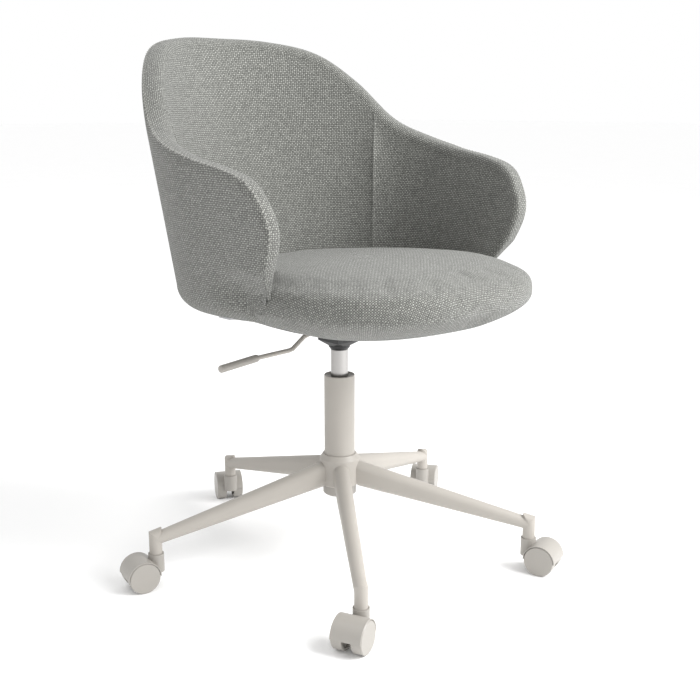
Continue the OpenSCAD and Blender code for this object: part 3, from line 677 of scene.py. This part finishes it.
def woven_cloth(name):
    """Coarse plain weave of thick flecked yarn, laid by the weave map, with shade painted into the
    hollows between its knots.
    """
    g = Nodes(name)
    flat = g.add("UVMap", uv_map="weave").outputs[0]
    wander = g.noise(flat, 90, 1.0, dimensions="2D").outputs["Color"]
    shift = g.add("VectorMath", {0: wander, 1: (0.5, 0.5, 0.5)}, operation="SUBTRACT").outputs[0]
    shift = g.add("VectorMath", {0: shift, "Scale": 0.0022}, operation="SCALE").outputs[0]
    moved = g.add("VectorMath", {0: flat, 1: shift}, operation="ADD").outputs[0]
    cells = g.add("VectorMath", {0: moved, "Scale": 1 / WEAVE_CELL}, operation="SCALE").outputs[0]
    cell = g.add("VectorMath", {0: cells}, operation="FLOOR").outputs[0]
    inside = g.add("VectorMath", {0: cells}, operation="FRACTION").outputs[0]
    number = g.add("SeparateXYZ", {0: cell})
    local = g.add("SeparateXYZ", {0: inside})
    total = g.math("ADD", number.outputs[0], number.outputs[1])
    warp_over = g.math("FLOORED_MODULO", total, 2.0)
    s = g.math("SUBTRACT", local.outputs[0], 0.5)
    t = g.math("SUBTRACT", local.outputs[1], 0.5)
    difference = g.math("MULTIPLY", g.math("SUBTRACT", t, s), warp_over)
    across = g.math("ADD", s, difference)
    along = g.math("SUBTRACT", t, difference)
    round_across = g.math("COSINE", g.math("MULTIPLY", across, math.pi))
    round_along = g.spread(g.math("COSINE", g.math("MULTIPLY", along, math.pi)), 0.30, 1.0)
    knot = g.math("MULTIPLY", round_across, round_along)

    fleck = g.add("TexWhiteNoise", {"Vector": cell}, noise_dimensions="2D").outputs["Value"]
    fibre = g.noise(flat, 1400, 2.0, dimensions="2D").outputs[0]
    cloud = g.noise(g.place(), 9, 2.0).outputs[0]
    # painted shade: the colour darkens from each knot's crown into the hollows between knots, and every
    # other cell is darker
    painted_knot_shade = g.spread(knot, 0.10, 1.0)
    painted_knot_shade = g.math("MULTIPLY", painted_knot_shade, g.spread(warp_over, 0.62, 1.0))
    # the painted knot shade, times the yarn's random fleck, fibre and cloud, sets the base colour
    tone = g.math("MULTIPLY", painted_knot_shade, g.spread(fleck, 0.66, 1.10))
    tone = g.math("MULTIPLY", tone, g.spread(fibre, 0.82, 1.18))
    tone = g.math("MULTIPLY", tone, g.spread(cloud, 0.95, 1.05))
    g.set(Base_Color=g.mix(tone, shade(46, 46, 44), shade(172, 173, 167)))
    g.set(Roughness=0.92, Sheen_Weight=0.25, Sheen_Roughness=0.5, Specular_IOR_Level=0.2)
    height = g.math("MULTIPLY", knot, g.spread(warp_over, 0.75, 1.0))
    height = g.math("ADD", height, g.math("MULTIPLY", fibre, 0.35))
    g.bump(height, 0.0011, 0.9)
    return g.material


def yarn(name, colour):
    """Sewing thread with a fine twist."""
    g = Nodes(name)
    place = g.place()
    twist = g.noise(place, 2500, 2.0).outputs[0]
    g.set(Base_Color=g.mix(twist, shade(*(c - 30 for c in colour)), shade(*colour)))
    g.set(Roughness=0.8, Sheen_Weight=0.2)
    g.bump(twist, 0.0002, 0.6)
    return g.material


def painted(name, colour, roughness, grain, bump):
    """Powder coat or moulded plastic: a fine grained skin, slightly uneven in tone and gloss."""
    g = Nodes(name)
    place = g.place()
    skin = g.noise(place, grain, 3.0, 0.6).outputs[0]
    cloud = g.noise(place, 14, 3.0).outputs[0]
    darker = shade(*(c * 0.965 for c in colour))
    g.set(Base_Color=g.mix(g.spread(cloud, 0.1, 1.0), darker, shade(*colour)))
    g.set(Roughness=g.spread(g.noise(place, 60, 4.0).outputs[0], roughness - 0.06, roughness + 0.06))
    g.bump(skin, bump, 0.5)
    return g.material


def brushed(name, colour, roughness, stretch):
    """Metal polished along one direction."""
    g = Nodes(name)
    lines = g.add("Mapping", {"Vector": g.place(), "Scale": stretch}).outputs[0]
    grain = g.noise(lines, 1.0, 3.0, 0.6).outputs[0]
    g.set(Base_Color=shade(*colour), Metallic=1.0)
    g.set(Roughness=g.spread(grain, roughness - 0.07, roughness + 0.09))
    g.bump(grain, 0.00002, 0.4)
    return g.material


def wooden(name, light, dark, stretch):
    g = Nodes(name)
    grain = g.add("Mapping", {"Vector": g.place(), "Scale": stretch}).outputs[0]
    ring = g.noise(grain, 1.0, 5.0, 0.65).outputs[0]
    g.set(Base_Color=g.mix(g.spread(ring, -0.4, 1.4), shade(*dark), shade(*light)))
    g.set(Roughness=0.65)
    g.bump(ring, 0.0002, 0.4)
    return g.material


def dust_cloth(name):
    """Thin black non-woven cloth."""
    g = Nodes(name)
    place = g.place()
    felt = g.noise(place, 700, 4.0, 0.7).outputs[0]
    g.set(Base_Color=g.mix(felt, shade(14, 14, 14), shade(42, 42, 43)), Roughness=0.95)
    g.bump(felt, 0.0003, 0.8)
    return g.material


def dress_cad_nodes():
    """Gives each CAD node the material of its slot."""
    greige = (168, 163, 156)
    finishes = {
        "greige_metal": painted("powder_coat", greige, 0.48, 1300, 0.00005),
        "greige_plastic": painted("moulded_greige", (158, 154, 148), 0.38, 700, 0.00003),
        "satin_chrome": brushed("satin_chrome", (168, 166, 164), 0.30, (40, 40, 2500)),
        "bearing_steel": brushed("bearing_steel", (170, 170, 172), 0.35, (500, 500, 500)),
        "black_metal": painted("black_enamel", (30, 30, 31), 0.42, 900, 0.00005),
        "black_plastic": painted("black_moulding", (24, 24, 25), 0.5, 800, 0.00004),
        "black_rubber": painted("black_rubber", (28, 28, 28), 0.8, 500, 0.00006),
        "beech": wooden("beech", (205, 168, 125), (160, 118, 78), (6, 90, 90)),
        "plywood": wooden("plywood", (212, 180, 138), (172, 134, 92), (8, 60, 700)),
        "core_plastic": painted("core_plastic", (34, 34, 34), 0.6, 400, 0.0001),
        "dust_cloth": dust_cloth("dust_cloth"),
    }
    cloth = woven_cloth("flecked_weave")
    for part in frame["record"]["subparts"]:
        node = frame["nodes"][part["node"]]
        node.data.materials.clear()
        node.data.materials.append(finishes.get(part["material_slot"], cloth))
        node.data.polygons.foreach_set("material_index", [0] * len(node.data.polygons))
    return cloth


# ---------------------------------------------------------------- stage

CAMERA_AZIMUTH = math.radians(-41.41)
CAMERA_DISTANCE = 1.6667
CAMERA_HEIGHT = 0.7344
CAMERA_YAW = math.radians(-0.589)
CAMERA_PITCH = math.radians(-13.015)


def add_camera():
    data = bpy.data.cameras.new("camera")
    data.sensor_width = 36
    data.lens = 54.41
    camera = bpy.data.objects.new("camera", data)
    camera.location = (CAMERA_DISTANCE * math.sin(CAMERA_AZIMUTH),
                       -CAMERA_DISTANCE * math.cos(CAMERA_AZIMUTH), CAMERA_HEIGHT)
    camera.rotation_euler = (math.pi / 2 + CAMERA_PITCH, 0, CAMERA_AZIMUTH + CAMERA_YAW)
    bpy.context.scene.collection.objects.link(camera)
    bpy.context.scene.camera = camera


def add_light(name, azimuth, elevation, distance, size, power):
    """A square soft light, looking at the middle of the chair."""
    a, e = math.radians(azimuth), math.radians(elevation)
    data = bpy.data.lights.new(name, "AREA")
    data.size = size
    data.energy = power
    light = bpy.data.objects.new(name, data)
    light.location = (distance * math.sin(a) * math.cos(e), -distance * math.cos(a) * math.cos(e),
                      0.45 + distance * math.sin(e))
    light.rotation_euler = (math.pi / 2 - e, 0, a)
    bpy.context.scene.collection.objects.link(light)


def add_stage():
    size = 40
    floor = new_mesh("floor", [(-size, -size, 0), (size, -size, 0), (size, size, 0), (-size, size, 0)],
                     [(0, 1, 2, 3)])
    g = Nodes("pale_floor")
    cloud = g.noise(g.place(), 3, 2.0).outputs[0]
    g.set(Base_Color=g.mix(cloud, shade(252, 252, 252), shade(255, 255, 255)), Roughness=0.9)
    floor.data.materials.append(g.material)
    world = bpy.data.worlds.new("studio")
    world.use_nodes = True
    world.node_tree.nodes["Background"].inputs["Color"].default_value = (1, 1, 1, 1)
    world.node_tree.nodes["Background"].inputs["Strength"].default_value = 1.0
    bpy.context.scene.world = world
    add_light("key", 30, 36, 3.0, 1.8, 130)
    bpy.context.scene.view_settings.view_transform = "Standard"


# ------------------------------------------------------------- assembly

def build():
    cloth = dress_cad_nodes()
    k, outer, inner = shell_covers()
    outer_cover = cover("shell_outer_cover", outer, 0)
    inner_cover = cover("shell_inner_cover", inner, ROLL_COLUMNS)
    seat = seat_cover()
    for piece, slot, nodes in (
        (outer_cover, "shell_fabric", ["shell_outer_pad", "shell_core"]),
        (inner_cover, "shell_fabric", ["shell_inner_pad"]),
        (seat, "seat_fabric", ["seat_cushion", "seat_under_pad", "seat_board"]),
    ):
        piece.data.materials.append(cloth)
        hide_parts(*nodes)
        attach(piece, "seat")

    seam = np.abs(k) < END - 1.5
    thread = stitches("rim_stitches", inner[seam, 1], grid_normals(inner)[seam, 1],
                      THREAD_PITCH, THREAD_LENGTH, THREAD_R)
    thread.data.materials.append(yarn("thread", (176, 175, 170)))
    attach(thread, "seat")


add_camera()
build()
add_stage()
